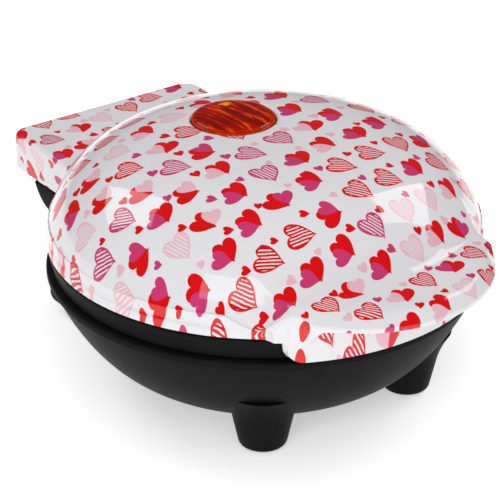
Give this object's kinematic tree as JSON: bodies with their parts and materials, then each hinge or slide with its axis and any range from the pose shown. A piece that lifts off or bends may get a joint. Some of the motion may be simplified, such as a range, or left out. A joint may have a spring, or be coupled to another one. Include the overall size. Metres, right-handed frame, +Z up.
{
  "type": "waffle maker",
  "caption": "Mini waffle maker: domed lid with a front handle lobe and rear housing, hinged to a bowl on feet, with patterned cooking plates inside.",
  "frame": {"origin": "on the floor the feet stand on, under the centre of the object's plan outline with the lid closed", "axes": "+Z up, -Y towards the front handle, +Y towards the rear housing and the hinge, +X to the right seen from the front"},
  "size_m": [0.1294, 0.171, 0.0794],
  "materials": {
    "white_gloss_cover": "glossy white moulding; the printed hearts are left to the scene",
    "black_plastic": "satin black moulding",
    "red_lens": "clear red-orange moulding",
    "natural_nylon": "natural nylon",
    "lamp_glass": "glass of a small neon lamp",
    "non_stick_coating": "die-cast aluminium with a dark non-stick coating",
    "plated_steel": "plated steel",
    "black_rubber": "matt black rubber",
    "white_ceramic": "white ceramic body, stored as a matt white solid",
    "glass_sleeve": "woven glass sleeving over copper"
  },
  "bodies": {
    "base": {"base_shell": "black_plastic", "base_ring": "black_plastic", "terminal_block": "natural_nylon", "lower_plate": "non_stick_coating", "lower_heater": "plated_steel", "lower_reflector": "plated_steel", "hinge_pin_left": "plated_steel", "hinge_pin_right": "plated_steel", "thermostat": "plated_steel", "base_screw_1": "plated_steel", "base_screw_2": "plated_steel", "base_screw_3": "plated_steel", "foot_pad_front_left": "black_rubber", "foot_pad_front_right": "black_rubber", "foot_pad_rear_left": "black_rubber", "foot_pad_rear_right": "black_rubber", "cord_gland": "black_rubber", "thermal_fuse": "white_ceramic", "supply_lead_live": "glass_sleeve", "supply_lead_neutral": "glass_sleeve"},
    "lid": {"lid_cover": "white_gloss_cover", "lid_frame": "black_plastic", "indicator_lens": "red_lens", "lamp_holder": "natural_nylon", "power_lamp": "lamp_glass", "ready_lamp": "lamp_glass", "upper_plate": "non_stick_coating", "upper_heater": "plated_steel", "upper_reflector": "plated_steel", "lamp_lead_power": "glass_sleeve", "lamp_lead_ready": "glass_sleeve", "upper_plate_screw_1": "plated_steel", "upper_plate_screw_2": "plated_steel", "upper_plate_screw_3": "plated_steel", "lid_screw_1": "plated_steel", "lid_screw_2": "plated_steel", "lid_screw_3": "plated_steel", "lid_screw_4": "plated_steel"}
  },
  "joints": [
    {"name": "lid_hinge", "type": "hinge", "parent": "base", "child": "lid", "pos_m": [0, 0.061, 0.0473], "axis": [-1, 0, 0], "range_deg": [0, 90]}
  ]
}
